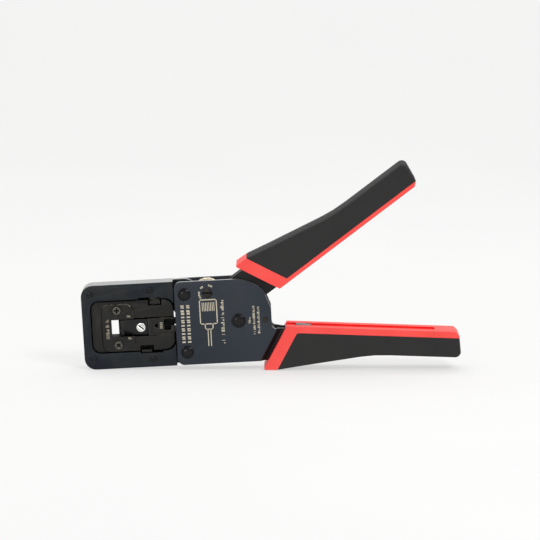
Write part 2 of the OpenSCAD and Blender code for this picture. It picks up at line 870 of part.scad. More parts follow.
// Drive block and carrier in one piece, hooked to the ram through a pocket with a narrower neck
module die_slide() {
    front = -drive_y - over;
    rear = slide_rear + over;
    step_right = ledge_left - 0.4;
    color([0.2, 0.19, 0.17]) stand() difference() {
        union() {
            block(drive_left, step_right, -drive_y, slide_rear, slide_bottom, slide_top);
            block(step_right - over, drive_right, -drive_y, slide_rear, toe_bottom, slide_top);
            block(drive_right - over, toe_right, -drive_y, slide_rear, toe_bottom, toe_top);
            block(carrier_left, drive_left + over, 0, slide_rear, slide_bottom, slide_top);
            block(rib_left, rib_right, -rib_y, rib_y, nest_bottom - rib_h, nest_top + rib_h);
        }
        block(carrier_left - over, drive_left, front, 0,
            nest_bottom - rib_h - over, nest_top + rib_h + over);
        block(hook_left - hook_gap, hook_right + hook_gap, front, rear,
            hook_bottom - hook_gap, hook_top + hook_gap);
        block(hook_right, 0, front, rear, neck_bottom - hook_gap, neck_top + hook_gap);
        bar(dowel_hole_at, dowel_hole_r, front, -drive_y + 3);
        bar(punch_screw_at, punch_shank_r + 0.05, -1, 4);
    }
}

// The slots and the blades share one set of places
function blade_v(i) = die_mid + (i - (blades - 1) / 2) * blade_pitch;

module crimp_punch() {
    slot_half = blade_t / 2 + blade_slot_gap;
    color([0.15, 0.15, 0.15]) stand() difference() {
        block(punch_left, punch_right, -punch_y, 0, punch_bottom, punch_top);
        block(punch_nose, punch_right + over, -punch_y - over, -punch_y + punch_step,
            punch_bottom - over, punch_top + over);
        bar(punch_screw_at, punch_shank_r + 0.05, -punch_y - over, over);
        for (i = [0:blades - 1])
            block(punch_left - over, blade_end, blade_y[0] - 0.05, blade_y[1] + 0.05,
                blade_v(i) - slot_half, blade_v(i) + slot_half);
    }
}

module punch_screw() {
    color([0.8, 0.8, 0.8]) stand() difference() {
        union() {
            bar(punch_screw_at, punch_head_r, -punch_y, -punch_y + punch_step);
            bar(punch_screw_at, punch_shank_r, -punch_y + punch_step, 3.8);
        }
        translate([punch_screw_at.x, -punch_y, punch_screw_at.y]) rotate([0, 40, 0])
            cube([4, 0.9, 1.1], center = true);
    }
}

module contact_blades() {
    color([0.7, 0.7, 0.7]) stand()
        for (i = [0:blades - 1])
            block(blade_tip, blade_end, blade_y[0], blade_y[1],
                blade_v(i) - blade_t / 2, blade_v(i) + blade_t / 2);
}

module strain_relief_bar() {
    bar_h = 6.4;
    color([0.5, 0.5, 0.5]) stand()
        block(blade_tip, carrier_left, 1.2, 3, die_mid - bar_h / 2, die_mid + bar_h / 2);
}

side_plate_front();
side_plate_rear();
head_core();
head_face_front();
head_face_rear();
head_rivets();
die_retainer_upper();
die_retainer_lower();
frame_pin_upper();
frame_pin_lower();
main_pivot_pin();
retaining_rings();
pawl_pin();
tang_spacer();
tang_rivets();
lower_grip_core();
lower_grip_overmould();
grip_insert();
die_body();
die_cover_plate();
die_rear_cover();
cover_screws();
rear_cover_screws();
return_spring();
pawl_spring();
adjuster_pin();
adjuster_wheel();
ratchet_pawl();
lever_plate_front();
lever_plate_rear();
lever_spacer();
lever_rivets();
crank_pin();
upper_grip_core();
upper_grip_overmould();
toggle_link();
ram();
ram_pin();
die_slide();
crimp_punch();
punch_screw();
contact_blades();
strain_relief_bar();
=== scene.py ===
"""Looks of the modular plug crimping tool: materials, softened edges, pins, etched marks and studio."""

import json
import math
import random

import bmesh
import bpy
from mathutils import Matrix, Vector


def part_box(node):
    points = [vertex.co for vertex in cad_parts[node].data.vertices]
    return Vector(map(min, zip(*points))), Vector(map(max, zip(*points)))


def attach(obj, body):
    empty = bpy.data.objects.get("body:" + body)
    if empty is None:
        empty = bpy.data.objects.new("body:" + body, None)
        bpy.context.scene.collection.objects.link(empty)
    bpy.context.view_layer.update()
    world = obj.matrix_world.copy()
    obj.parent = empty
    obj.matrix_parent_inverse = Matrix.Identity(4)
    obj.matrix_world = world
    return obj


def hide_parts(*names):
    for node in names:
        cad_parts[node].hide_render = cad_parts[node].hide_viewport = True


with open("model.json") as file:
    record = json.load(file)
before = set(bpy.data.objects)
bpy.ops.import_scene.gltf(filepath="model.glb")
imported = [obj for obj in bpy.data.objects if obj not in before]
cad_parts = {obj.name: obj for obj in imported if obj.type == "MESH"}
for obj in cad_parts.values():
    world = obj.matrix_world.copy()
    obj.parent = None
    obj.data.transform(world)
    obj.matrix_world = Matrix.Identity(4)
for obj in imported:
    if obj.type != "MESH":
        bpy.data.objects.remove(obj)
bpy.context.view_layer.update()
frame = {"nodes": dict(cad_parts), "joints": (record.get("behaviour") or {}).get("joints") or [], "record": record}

MM = 0.001
JOINTS = {joint["name"]: joint for joint in frame["joints"]}
PIVOT = Vector(JOINTS["handle_close"]["pos_m"])
ALONG = -Vector(JOINTS["ram_slide"]["axis"])
UP = Vector((-ALONG.z, 0, ALONG.x))
DEPTH = Vector((0, 1, 0))
BODY_OF = {node: body for body, nodes in frame["record"]["behaviour"]["bodies"].items() for node in nodes}

# Directions and sizes that the CAD source also names, in degrees and millimetres
OPEN_ANGLE = math.radians(34.5)
LOWER_ANGLE = math.radians(4.96)
UPPER_START = (34.5, 0.74)
LOWER_START = (31.5, 2.28)
UPPER_BAND = 2.6
LOWER_BAND = 4.2
GROOVE_LENGTH = 98
FACE_Y = 8.5
GRIP_HALF = 11.0
BEND_AT = (18.5, -17.6)
BEND_ANGLE = math.radians(30)
ADJUSTER_AT = (-19.6, 19.2)
COVER_SCREWS = ((-79.5, 10.5), (-79.5, -12.5))
# Beyond these lines a wall belongs to the head's outside and not to its window
HEAD_OUTSIDE_V = 20.6
HEAD_OUTSIDE_U = -97


def spot(u, v, y=0.0):
    """A point in the row frame from millimetres along the head, up from it and through its thickness."""
    return PIVOT + (ALONG * u + UP * v + DEPTH * y) * MM


def handle_coords(p, lower):
    """How far a point lies along a handle's inner line and outwards from it, in millimetres."""
    d = (Vector(p) - PIVOT) / MM
    u, v = d.dot(ALONG), d.dot(UP)
    if lower:
        c, k = math.cos(LOWER_ANGLE), math.sin(LOWER_ANGLE)
        return u * c - v * k, -u * k - v * c
    c, k = math.cos(OPEN_ANGLE), math.sin(OPEN_ANGLE)
    return u * c + v * k, -u * k + v * c


def srgb(r, g, b):
    def linear(x):
        x /= 255
        return x / 12.92 if x <= 0.04045 else ((x + 0.055) / 1.055) ** 2.4

    return linear(r), linear(g), linear(b), 1.0


# ---------- camera, first ----------

CAMERA_ELEVATION = math.radians(9.5)
CAMERA_DISTANCE = 1.965
CAMERA_TARGET = PIVOT + Vector((20.44, 0, 32.23)) * MM

camera_data = bpy.data.cameras.new("camera")
camera_data.lens = 200
camera_data.sensor_width = 36
camera_data.clip_end = 20
camera = bpy.data.objects.new("camera", camera_data)
towards_camera = Vector((0, -math.cos(CAMERA_ELEVATION), math.sin(CAMERA_ELEVATION)))
camera.location = CAMERA_TARGET + CAMERA_DISTANCE * towards_camera
camera.rotation_euler = (math.pi / 2 - CAMERA_ELEVATION, 0, 0)
bpy.context.collection.objects.link(camera)
bpy.context.scene.camera = camera
bpy.context.scene.view_settings.view_transform = "Standard"


# ---------- materials ----------


class Nodes:
    """A new material's node tree, with short calls for what the materials share."""

    def __init__(self, name):
        self.material = bpy.data.materials.new(name)
        self.material.use_nodes = True
        self.tree = self.material.node_tree
        self.shader = self.tree.nodes["Principled BSDF"]
        self.place = self.add("ShaderNodeTexCoord").outputs["Object"]

    def add(self, kind, **values):
        node = self.tree.nodes.new(kind)
        for key, value in values.items():
            setattr(node, key, value)
        return node

    def link(self, out, into):
        self.tree.links.new(out, into)

    def noise(self, scale, detail=3.0, rough=0.55, stretch=None):
        node = self.add("ShaderNodeTexNoise")
        node.inputs["Scale"].default_value = scale
        node.inputs["Detail"].default_value = detail
        node.inputs["Roughness"].default_value = rough
        where = self.place
        if stretch:
            mapping = self.add("ShaderNodeMapping")
            mapping.inputs["Scale"].default_value = stretch
            self.link(where, mapping.inputs["Vector"])
            where = mapping.outputs["Vector"]
        self.link(where, node.inputs["Vector"])
        return node.outputs["Fac"]

    def cells(self, scale):
        node = self.add("ShaderNodeTexVoronoi")
        node.inputs["Scale"].default_value = scale
        self.link(self.place, node.inputs["Vector"])
        return node.outputs["Distance"]

    def ramp(self, fac, stops):
        node = self.add("ShaderNodeValToRGB")
        ramp = node.color_ramp
        while len(ramp.elements) < len(stops):
            ramp.elements.new(0.5)
        for element, (position, colour) in zip(ramp.elements, stops):
            element.position = position
            element.color = colour
        self.link(fac, node.inputs["Fac"])
        return node.outputs["Color"]

    def span(self, fac, low, high, start=0.0, end=1.0):
        node = self.add("ShaderNodeMapRange")
        node.inputs["From Min"].default_value = start
        node.inputs["From Max"].default_value = end
        node.inputs["To Min"].default_value = low
        node.inputs["To Max"].default_value = high
        self.link(fac, node.inputs["Value"])
        return node.outputs["Result"]

    def mix(self, fac, a, b):
        node = self.add("ShaderNodeMix", data_type="RGBA")
        self.link(fac, node.inputs["Factor"])
        for value, socket in ((a, node.inputs[6]), (b, node.inputs[7])):
            if isinstance(value, tuple):
                socket.default_value = value
            else:
                self.link(value, socket)
        return node.outputs[2]

    def bump(self, heights):
        """Chains bumps from (height, distance in metres) pairs into the shader's normal."""
        normal = None
        for height, distance in heights:
            node = self.add("ShaderNodeBump")
            node.inputs["Distance"].default_value = distance
            self.link(height, node.inputs["Height"])
            if normal is not None:
                self.link(normal, node.inputs["Normal"])
            normal = node.outputs["Normal"]
        self.link(normal, self.shader.inputs["Normal"])

    def set(self, **values):
        for key, value in values.items():
            self.shader.inputs[key.replace("_", " ")].default_value = value


def coated_steel(name, tints, rough=0.42, metallic=0.5, specular=0.5, drift_scale=16):
    """Blackened plate: a slow drift through the tints, a fine speckle and faint rolling lines."""
    m = Nodes(name)
    steps = [(0.36 + 0.28 * i / (len(tints) - 1), tint) for i, tint in enumerate(tints)]
    drift = m.ramp(m.noise(drift_scale, 2, 0.4), steps)
    speckle = m.span(m.noise(2600, 2, 0.7), 0.0, 0.14, 0.42, 0.75)
    lighter = tuple(min(1.0, c * 1.9 + 0.01) for c in tints[-1][:3]) + (1.0,)
    m.link(m.mix(speckle, drift, lighter), m.shader.inputs["Base Color"])
    m.link(m.span(m.noise(160, 4), rough - 0.08, rough + 0.1), m.shader.inputs["Roughness"])
    m.bump([(m.noise(1800, 2, 0.6), 0.000010), (m.noise(60, 2, 0.5, (1, 1, 14)), 0.00002)])
    m.set(Metallic=metallic, Specular_IOR_Level=specular)
    return m.material


def worn_edge(name, base, worn, rough=0.32):
    """Edges where handling has thinned the coating: broken, brighter metal; on the side plates' and die covers'
    upper edges it also serves as a painted highlight.
    """
    m = Nodes(name)
    patches = m.span(m.noise(260, 4, 0.7), 0.0, 1.0, 0.42, 0.62)
    m.link(m.mix(patches, base, worn), m.shader.inputs["Base Color"])
    m.link(m.span(m.noise(900, 3), rough - 0.06, rough + 0.12), m.shader.inputs["Roughness"])
    m.bump([(m.noise(1500, 2), 0.00001)])
    m.set(Metallic=0.8)
    return m.material


def bare_steel(name, base, rough=0.3, lines=(1, 1, 9), metallic=1.0, stain=0.5):
    """Machined metal with directional lines and small stains."""
    m = Nodes(name)
    spots = m.span(m.noise(420, 4, 0.65), 0.0, stain, 0.4, 0.8)
    darker = tuple(c * 0.55 for c in base[:3]) + (1.0,)
    m.link(m.mix(spots, base, darker), m.shader.inputs["Base Color"])
    m.link(m.span(m.noise(1200, 3), rough - 0.08, rough + 0.12), m.shader.inputs["Roughness"])
    m.bump([(m.noise(500, 3, 0.6, lines), 0.000015)])
    m.set(Metallic=metallic)
    return m.material


def moulded_plastic(name, deep, base, rough=0.42, grain=0.00002, sheen=0.0, specular=0.5):
    """Moulded grip plastic: a spark-eroded grain and slow changes of depth in the colour."""
    m = Nodes(name)
    m.link(m.ramp(m.noise(35, 3), [(0.3, deep), (0.7, base)]), m.shader.inputs["Base Color"])
    m.link(m.span(m.noise(240, 3), rough - 0.05, rough + 0.08), m.shader.inputs["Roughness"])
    m.bump([(m.cells(2200), grain), (m.noise(900, 2), grain * 0.5)])
    m.set(Specular_IOR_Level=specular, Sheen_Weight=sheen)
    return m.material


def etched_ink(name, base, bare):
    """Laser-etched marks: pale, slightly broken where the coating shows through."""
    m = Nodes(name)
    gaps = m.span(m.noise(5200, 2, 0.8), 0.0, 0.6, 0.5, 0.8)
    m.link(m.mix(gaps, base, bare), m.shader.inputs["Base Color"])
    m.link(m.span(m.noise(2000, 2), 0.5, 0.7), m.shader.inputs["Roughness"])
    m.bump([(m.noise(3000, 2), 0.00001)])
    return m.material


PLATE = coated_steel("plate_coating", [srgb(34, 41, 51), srgb(42, 48, 57), srgb(50, 53, 57)], 0.46)
# Worn edge finish, put only on the side plates' upper edges as a painted highlight.
PLATE_EDGE_HIGHLIGHT = worn_edge("plate_edge", srgb(110, 114, 118), srgb(196, 198, 198))
HEAD_TINTS = [srgb(11, 14, 30), srgb(13, 24, 31), srgb(27, 30, 32)]
HEAD = coated_steel("head_coating", HEAD_TINTS, 0.42, drift_scale=70)
HEAD_EDGE = worn_edge("head_edge", srgb(24, 28, 36), srgb(60, 66, 74))
CUT = bare_steel("cut_edge_steel", srgb(176, 177, 176), 0.38, (9, 1, 9), 0.85)
LEVER = coated_steel("lever_coating", [srgb(15, 16, 17), srgb(24, 26, 27)], 0.45, 0.3, 0.35)
LEVER_EDGE = worn_edge("lever_edge", srgb(70, 72, 74), srgb(170, 172, 172))
DIE = coated_steel("die_black_oxide", [srgb(15, 14, 12), srgb(25, 23, 19)], 0.4, 0.4)
DIE_EDGE = worn_edge("die_edge", srgb(30, 28, 24), srgb(112, 106, 94))
PUNCH = coated_steel("punch_black_oxide", [srgb(11, 11, 11), srgb(19, 19, 18)], 0.36, 0.4)
# Flat black that stands in for shade in recesses, holes, slots and gaps: painted shade.
PAINTED_SHADE = coated_steel("painted_shade_black", [srgb(4, 4, 4), srgb(9, 9, 9)], 0.6, 0.0, 0.1)
PIN = bare_steel("pin_blackened", srgb(30, 30, 31), 0.2, (6, 1, 6), 0.7)
# Bright edge: worn on the pawl's edges, a painted highlight on the drive block's left edge.
PIN_EDGE_AND_HIGHLIGHT = bare_steel("pin_rubbed_edge_and_highlight", srgb(120, 122, 124), 0.24)
ADJUSTER = bare_steel("adjuster_bronzed", srgb(48, 45, 40), 0.34, (6, 1, 6), 0.7)
WHEEL = bare_steel("wheel_nickel", srgb(240, 226, 200), 0.4, (1, 12, 1), 0.6, 0.2)
BRIGHT = bare_steel("bright_screw", srgb(225, 224, 220), 0.22, stain=0.2)
SCREW = bare_steel("black_screw", srgb(92, 89, 82), 0.3, metallic=0.9)
GREY = bare_steel("ground_steel", srgb(70, 68, 64), 0.34)
SPRING = bare_steel("spring_wire", srgb(150, 150, 152), 0.25)
RED = moulded_plastic("grip_red", srgb(236, 68, 62), srgb(248, 80, 74), 0.48, 0.000016, 0.0, 0.35)
# Deeper red of the same plastic for the groove's floor: painted shade.
GROOVE_SHADE_RED = moulded_plastic("grip_red_groove_shade", srgb(228, 20, 20), srgb(238, 26, 24), 0.5, 0.000016, 0.0, 0.3)
BLACK = moulded_plastic("grip_black", srgb(25, 25, 25), srgb(32, 32, 31), 0.6, 0.00003, 0.02, 0.35)
# Darker black of the same rubber for the grips' outer strip: painted shade.
BLACK_RIM_SHADE = moulded_plastic("grip_black_rim_shade", srgb(9, 9, 9), srgb(14, 14, 13), 0.62, 0.00003, 0.0, 0.25)
INSERT = moulded_plastic("insert_gloss", srgb(11, 11, 12), srgb(16, 16, 17), 0.14, 0.000004)
ETCH = etched_ink("etched_marks", srgb(196, 187, 165), srgb(84, 84, 80))
ETCH_DIM = etched_ink("etched_marks_dim", srgb(142, 136, 116), srgb(70, 68, 60))


# ---------- pieces ----------


def new_piece(name, mesh, body, slot, *materials):
    """Links a mesh as a piece that rides on a body and takes the materials given; slot is not used."""
    piece = bpy.data.objects.new(name, mesh)
    bpy.context.collection.objects.link(piece)
    indices = [p.material_index for p in mesh.polygons]
    mesh.materials.clear()
    for material in materials:
        mesh.materials.append(material)
    mesh.polygons.foreach_set("material_index", indices)
    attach(piece, body)
    return piece


def shade(mesh, angle=32):
    mesh.polygons.foreach_set("use_smooth", [True] * len(mesh.polygons))
    mesh.set_sharp_from_angle(angle=math.radians(angle))


def welded(node):
    """The CAD node's mesh with split corners joined and flat faces whole again."""
    bm = bmesh.new()
    bm.from_mesh(frame["nodes"][node].data)
    bmesh.ops.remove_doubles(bm, verts=bm.verts, dist=2e-6)
    bmesh.ops.dissolve_limit(bm, angle_limit=math.radians(0.5), verts=bm.verts, edges=bm.edges)
    return bm


def soften(node, width, materials, weight=None, paint=None, segments=2, sharp=30, edge_paint=None):
    """Replaces a hard CAD node by the same shape with its sharp edges rounded by width millimetres.

    materials are the faces' finish, the rounded edges' finish, then any that paint(centre, normal) picks
    by index; edge_paint picks in the same way for the rounded edges.
    """
    bm = welded(node)
    layer = bm.edges.layers.float.new("bevel_weight_edge")
    limit = math.radians(sharp)
    for e in bm.edges:
        if len(e.link_faces) == 2 and e.calc_face_angle(0) > limit:
            e[layer] = 1.0 if weight is None else weight(e)
    mesh = bpy.data.meshes.new(node + "_softened")
    bm.to_mesh(mesh)
    bm.free()
    mesh.polygons.foreach_set("use_smooth", [True] * len(mesh.polygons))
    for material in materials[:2]:
        mesh.materials.append(material)
    source = bpy.data.objects.new("bevel_source", mesh)
    bpy.context.collection.objects.link(source)
    bevel = source.modifiers.new("soft_edges", "BEVEL")
    bevel.width = width * MM
    bevel.segments = segments
    bevel.limit_method = "WEIGHT"
    bevel.material = 1
    bevel.harden_normals = True
    bpy.context.view_layer.update()
    done = bpy.data.meshes.new_from_object(source.evaluated_get(bpy.context.evaluated_depsgraph_get()))
    bpy.data.objects.remove(source)
    for p in done.polygons:
        if p.material_index == 0 and paint:
            p.material_index = paint(p.center, p.normal)
        elif p.material_index == 1 and edge_paint:
            p.material_index = edge_paint(p.center, p.normal)
    piece = new_piece(node + "_skin", done, BODY_OF[node], node, *materials)
    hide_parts(node)
    return piece


def finish_node(node, material):
    """Gives a CAD node that keeps its shape its own material."""
    mesh = frame["nodes"][node].data
    mesh.materials.clear()
    mesh.materials.append(material)


def lathe(bm, centre, profile, steps=48, start=0.0, sweep=360.0):
    """Turns (radius, y) millimetre pairs about the y axis through centre; a radius of 0 closes an end."""
    whole = sweep >= 360
    count = steps if whole else steps + 1
    rings = []
    for radius, y in profile:
        if radius == 0:
            rings.append([bm.verts.new(centre + DEPTH * y * MM)])
            continue
        ring = []
        for i in range(count):
            a = math.radians(start + sweep * i / steps)
            outwards = Vector((math.cos(a), 0, math.sin(a)))
            ring.append(bm.verts.new(centre + (outwards * radius + DEPTH * y) * MM))
        rings.append(ring)
    for a, b in zip(rings, rings[1:]):
        for i in range(steps):
            j = (i + 1) % count
            corners = list(dict.fromkeys([a[i % len(a)], a[j % len(a)], b[j % len(b)], b[i % len(b)]]))
            if len(corners) > 2:
                bm.faces.new(corners)
    if not whole:
        for k in (0, -1):
            bm.faces.new([ring[k] for ring in rings[:-1]])


def mesh_from(bm, name, angle=32):
    bmesh.ops.recalc_face_normals(bm, faces=bm.faces)
    mesh = bpy.data.meshes.new(name)
    bm.to_mesh(mesh)
    bm.free()
    shade(mesh, angle)
    return mesh


def axis_of(node):
    """Centre line, radius and rear end of a round node that lies along y."""
    low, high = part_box(node)
    middle = (low + high) / 2
    return Vector((middle.x, 0, middle.z)), (high.x - low.x) / 2 / MM, high.y / MM


def domed_pin(node, rise, material=PIN):
    """A pin whose two ends stand up in a low dome."""
    centre, radius, end = axis_of(node)
    half = [(0, end + rise), (radius * 0.3, end + rise * 0.92), (radius * 0.55, end + rise * 0.7),
            (radius * 0.75, end + rise * 0.38), (radius * 0.9, end), (radius * 0.98, end - 0.18),
            (radius, end - 0.45)]
    bm = bmesh.new()
    lathe(bm, centre, [(r, -y) for r, y in half] + [(r, y) for r, y in reversed(half)])
    piece = new_piece(node + "_turned", mesh_from(bm, node + "_turned"), BODY_OF[node], node, material)
    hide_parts(node)
    return piece


def build_rings():
    """Snap rings with rounded edges and an open gap, in the place of the plain rings."""
    bm = bmesh.new()
    gap, width, thick = 0.06, 0.85, 0.4
    low, high = FACE_Y, FACE_Y + thick
    for node in ("main_pivot_pin", "frame_pin_upper", "frame_pin_lower"):
        centre, radius, _ = axis_of(node)
        inner, outer = radius + gap, radius + gap + width
        for side in (-1, 1):
            section = [(inner, low), (inner, high - 0.12), (inner + 0.12, high), (outer - 0.2, high),
                       (outer - 0.06, high - 0.06), (outer, high - 0.2), (outer, low), (inner, low)]
            lathe(bm, centre, [(r, side * y) for r, y in section], 44, 62, 332)
    bmesh.ops.remove_doubles(bm, verts=bm.verts, dist=1e-7)
    piece = new_piece("snap_rings", mesh_from(bm, "snap_rings"), "frame", "retaining_rings", PIN)
    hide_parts("retaining_rings")


def cut_sides(centre, normal):
    """Bare metal on the sheared outline of a plate, coating on its flats."""
    return 2 if abs(normal.y) < 0.3 else 0


def past_bend(point):
    """How far a point lies beyond the bend line of the side plates, in millimetres."""
    d = (point - PIVOT) / MM
    u, v = d.dot(ALONG) - BEND_AT[0], d.dot(UP) - BEND_AT[1]
    return u * math.cos(BEND_ANGLE) - v * math.sin(BEND_ANGLE)


def plate_weight(e):
    """A wide rounding on the bend lines and a fine one on every other edge."""
    ends = [past_bend(v.co) for v in e.verts]
    on_bend = abs(ends[0] - ends[1]) < 0.2 and -0.4 < ends[0] < 3.0
    return 1.0 if on_bend else 0.12


def plate_paint(centre, normal):
    """The tang is painted black, partly as painted shade from the grips; the rear plate's outline is painted black
    as painted shade; the front plate's outline is bare.
    """
    if past_bend(centre) > 0.6 or (centre.y > 0 and abs(normal.y) < 0.3):
        return 3
    return cut_sides(centre, normal)


def plate_edge_paint(centre, normal):
    """A painted highlight in the worn edge finish runs along the upper edges; the left edge and the bend keep the
    coating.
    """
    if past_bend(centre) > -2:
        return 0
    return 1 if normal.dot(UP) > 0.25 else 0


def head_paint(centre, normal):
    """Bare metal only on the head's outside edges; the window's walls are painted black as painted shade."""
    if abs(normal.y) > 0.3:
        return 0
    d = (centre - PIVOT) / MM
    u, v = d.dot(ALONG), d.dot(UP)
    return 2 if abs(v) > HEAD_OUTSIDE_V or u < HEAD_OUTSIDE_U else 3


def recess_shade_paint(node, depth):
    """Paints black, as painted shade, whatever lies deeper than depth below either end of a node."""
    low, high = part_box(node)

    def paint(centre, normal):
        return 2 if low.y + depth * MM < centre.y < high.y - depth * MM else 0

    return paint


def build_frame():
    """Plates, head, pins, rings and rivets."""
    for node in ("side_plate_front", "side_plate_rear"):
        # The lever's black goes on the tang and the rear plate's outline as painted shade.
        finishes = (PLATE, PLATE_EDGE_HIGHLIGHT, CUT, LEVER)
        soften(node, 1.7, finishes, plate_weight, plate_paint, 3, 20, plate_edge_paint)
    for node in ("head_face_front", "head_face_rear", "head_core"):
        soften(node, 0.3, (HEAD, HEAD_EDGE, CUT, PAINTED_SHADE), None, head_paint)
    for node in ("frame_pin_upper", "frame_pin_lower", "main_pivot_pin"):
        domed_pin(node, 0.45)
    domed_pin("pawl_pin", 0.1, ADJUSTER)
    build_rings()
    soften("head_rivets", 0.2, (PIN, PIN))
    finish_node("tang_spacer", LEVER)
    finish_node("tang_rivets", BRIGHT)
    for node in ("die_retainer_upper", "die_retainer_lower"):
        soften(node, 0.35, (PUNCH, DIE_EDGE))


def build_lever():
    """The lever, toggle, ratchet, springs and adjuster."""
    for node in ("lever_plate_front", "lever_plate_rear"):
        soften(node, 0.3, (LEVER, LEVER_EDGE))
    finish_node("lever_spacer", LEVER)
    finish_node("lever_rivets", BRIGHT)
    finish_node("crank_pin", BRIGHT)
    finish_node("toggle_link", GREY)
    soften("ratchet_pawl", 0.2, (GREY, PIN_EDGE_AND_HIGHLIGHT))
    finish_node("return_spring", SPRING)
    finish_node("pawl_spring", SPRING)
    # The adjuster's slot and recess are painted black as painted shade.
    soften("adjuster_pin", 0.3, (ADJUSTER, ADJUSTER, PAINTED_SHADE), None, recess_shade_paint("adjuster_pin", 0.3))
    soften("adjuster_wheel", 0.25, (WHEEL, WHEEL))


def build_die():
    """The die set, its screws and the ram that drives it."""
    # The die body's pockets and nest are painted black as painted shade.
    soften("die_body", 0.3, (DIE, DIE_EDGE, PAINTED_SHADE), None, recess_shade_paint("die_body", 0.5))
    for node in ("die_cover_plate", "die_rear_cover"):
        soften(node, 0.8, (DIE, DIE_EDGE, PAINTED_SHADE), cover_weight, cover_paint, 2, 30, cover_edge_paint)
    for node in ("cover_screws", "rear_cover_screws"):
        soften(node, 0.08, (SCREW, SCREW, PAINTED_SHADE), None, screw_paint(node))
    # The slide's recesses are painted black as painted shade; its left edge gets a painted highlight.
    finishes = (DIE, DIE_EDGE, PAINTED_SHADE, PIN_EDGE_AND_HIGHLIGHT)
    soften("die_slide", 0.2, finishes, None, recess_shade_paint("die_slide", 0.5), 2, 30, slide_edge_paint)
    soften("crimp_punch", 0.2, (PUNCH, DIE_EDGE))
    soften("punch_screw", 0.2, (BRIGHT, BRIGHT, PAINTED_SHADE), None, screw_paint("punch_screw"))
    finish_node("contact_blades", PUNCH)
    finish_node("strain_relief_bar", GREY)
    # The ram shows only in the hook's recess, where it is painted black as painted shade.
    finish_node("ram", PAINTED_SHADE)
    finish_node("ram_pin", BRIGHT)


def cover_weight(e):
    """A wide rounding on a cover's outline, a small one round its screws and window."""
    low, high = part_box("die_cover_plate")
    middle = (e.verts[0].co + e.verts[1].co) / 2
    if any((middle - spot(u, v, middle.y / MM)).length < 3.6 * MM for u, v in COVER_SCREWS):
        return 0.15
    flat = abs(e.verts[0].co.y - e.verts[1].co.y) < 0.01 * MM and abs(middle.y) > 7 * MM
    near = min(middle.x - low.x, high.z - middle.z, middle.z - low.z) < 5.2 * MM
    return 1.0 if flat and near else 0.2


def cover_paint(centre, normal):
    """Counterbore floors and the holes' walls are painted black as painted shade."""
    low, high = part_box("die_cover_plate")
    depth = min(abs(abs(centre.y) - abs(low.y)), abs(abs(centre.y) - abs(high.y)))
    return 0 if abs(normal.y) > 0.5 and depth < 0.1 * MM else 2


def slide_edge_paint(centre, normal):
    """The drive block's left edge gets the bright edge finish as a painted highlight."""
    return 3 if normal.dot(ALONG) < -0.3 and normal.y < -0.2 else 1


def cover_edge_paint(centre, normal):
    """The covers' upper and right edges get the worn edge finish as a painted highlight; the others are painted
    black as painted shade.
    """
    return 1 if normal.dot(UP) > 0.1 or normal.dot(ALONG) > 0.2 else 2


def screw_paint(node):
    """Paints all of a screw but the flat top of its head black: painted shade in its recesses and round its head.
    """
    low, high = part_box(node)
    front = abs(low.y) > abs(high.y)
    top = low.y if front else high.y

    def paint(centre, normal):
        return 2 if abs(centre.y - top) > 0.1 * MM else 0

    return paint


GRIP_ROUNDING = 1.7
COLLAR_LEAN = math.atan(14.2 / 29.6)
COLLAR = 8.9


def grip_frame(lower):
    """A function from a point to its place along a grip's inner line and outwards from it."""
    start = LOWER_START if lower else UPPER_START

    def local(point):
        s, w = handle_coords(point, lower)
        return s - start[0], w - start[1]

    return local


def grip_weight(lower, band):
    """Wide rounding on a grip's outer edges, small on its inner ones, and a hairline along the seams."""
    local = grip_frame(lower)

    def weight(e):
        a, b = (local(v.co) for v in e.verts)
        sides = [abs(abs(v.co.y) - GRIP_HALF * MM) < 0.05 * MM for v in e.verts]
        s, w = (a[0] + b[0]) / 2, (a[1] + b[1]) / 2
        seam_line = COLLAR - w * math.tan(COLLAR_LEAN)
        near_fillet = w < band + 3.2 and abs(s - COLLAR) < 4
        seam = (abs(s - seam_line) < 0.5 and w > band) or (abs(w - band) < 0.2 and s > 6) or \
            (near_fillet and w > band - 0.1 and s > 4)
        if seam:
            return 0.06
        if all(sides):
            front_edge = abs(s + w * math.tan(COLLAR_LEAN)) < 0.7 and w < 28
            if front_edge:
                return 0.45
            return 0.5 if w < 1.5 else 1.0
        if any(sides):
            return 0.3
        return 0.15

    return weight


def groove_paint(centre, normal):
    """The floor of the lower grip's long groove is painted a deeper red, as painted shade."""
    s, w = grip_frame(True)(centre)
    return 2 if abs(centre.y) < 4.6 * MM and 0.1 < w < 1.4 and s < GROOVE_LENGTH else 0


def outline_shade_paint(centre, normal):
    """The outer strip of a black part, between its two sides, is painted darker than the sides as painted shade.
    """
    return 2 if abs(normal.y) < 0.3 else 0


def build_grips():
    """Both grips and the insert in the lower one's groove."""
    for side, lower, band in (("lower", True, LOWER_BAND), ("upper", False, UPPER_BAND)):
        weight = grip_weight(lower, band)
        finishes = (RED, RED, GROOVE_SHADE_RED) if lower else (RED, RED)
        core_paint = groove_paint if lower else None
        soften(side + "_grip_core", GRIP_ROUNDING, finishes, weight, core_paint, 5, 24)
        finishes = (BLACK, BLACK, BLACK_RIM_SHADE)
        soften(side + "_grip_overmould", GRIP_ROUNDING, finishes, weight, outline_shade_paint, 5, 24)
    soften("grip_insert", 0.3, (INSERT, INSERT))


# ---------- etched marks ----------


def prism(bm, points, y, thick):
    """A thin raised polygon on a front face, from (u, v) points in millimetres."""
    back = [bm.verts.new(spot(u, v, y)) for u, v in points]
    front = [bm.verts.new(spot(u, v, y - thick)) for u, v in points]
    bm.faces.new(front)
    bm.faces.new(list(reversed(back)))
    for i in range(len(points)):
        j = (i + 1) % len(points)
        bm.faces.new((back[i], back[j], front[j], front[i]))


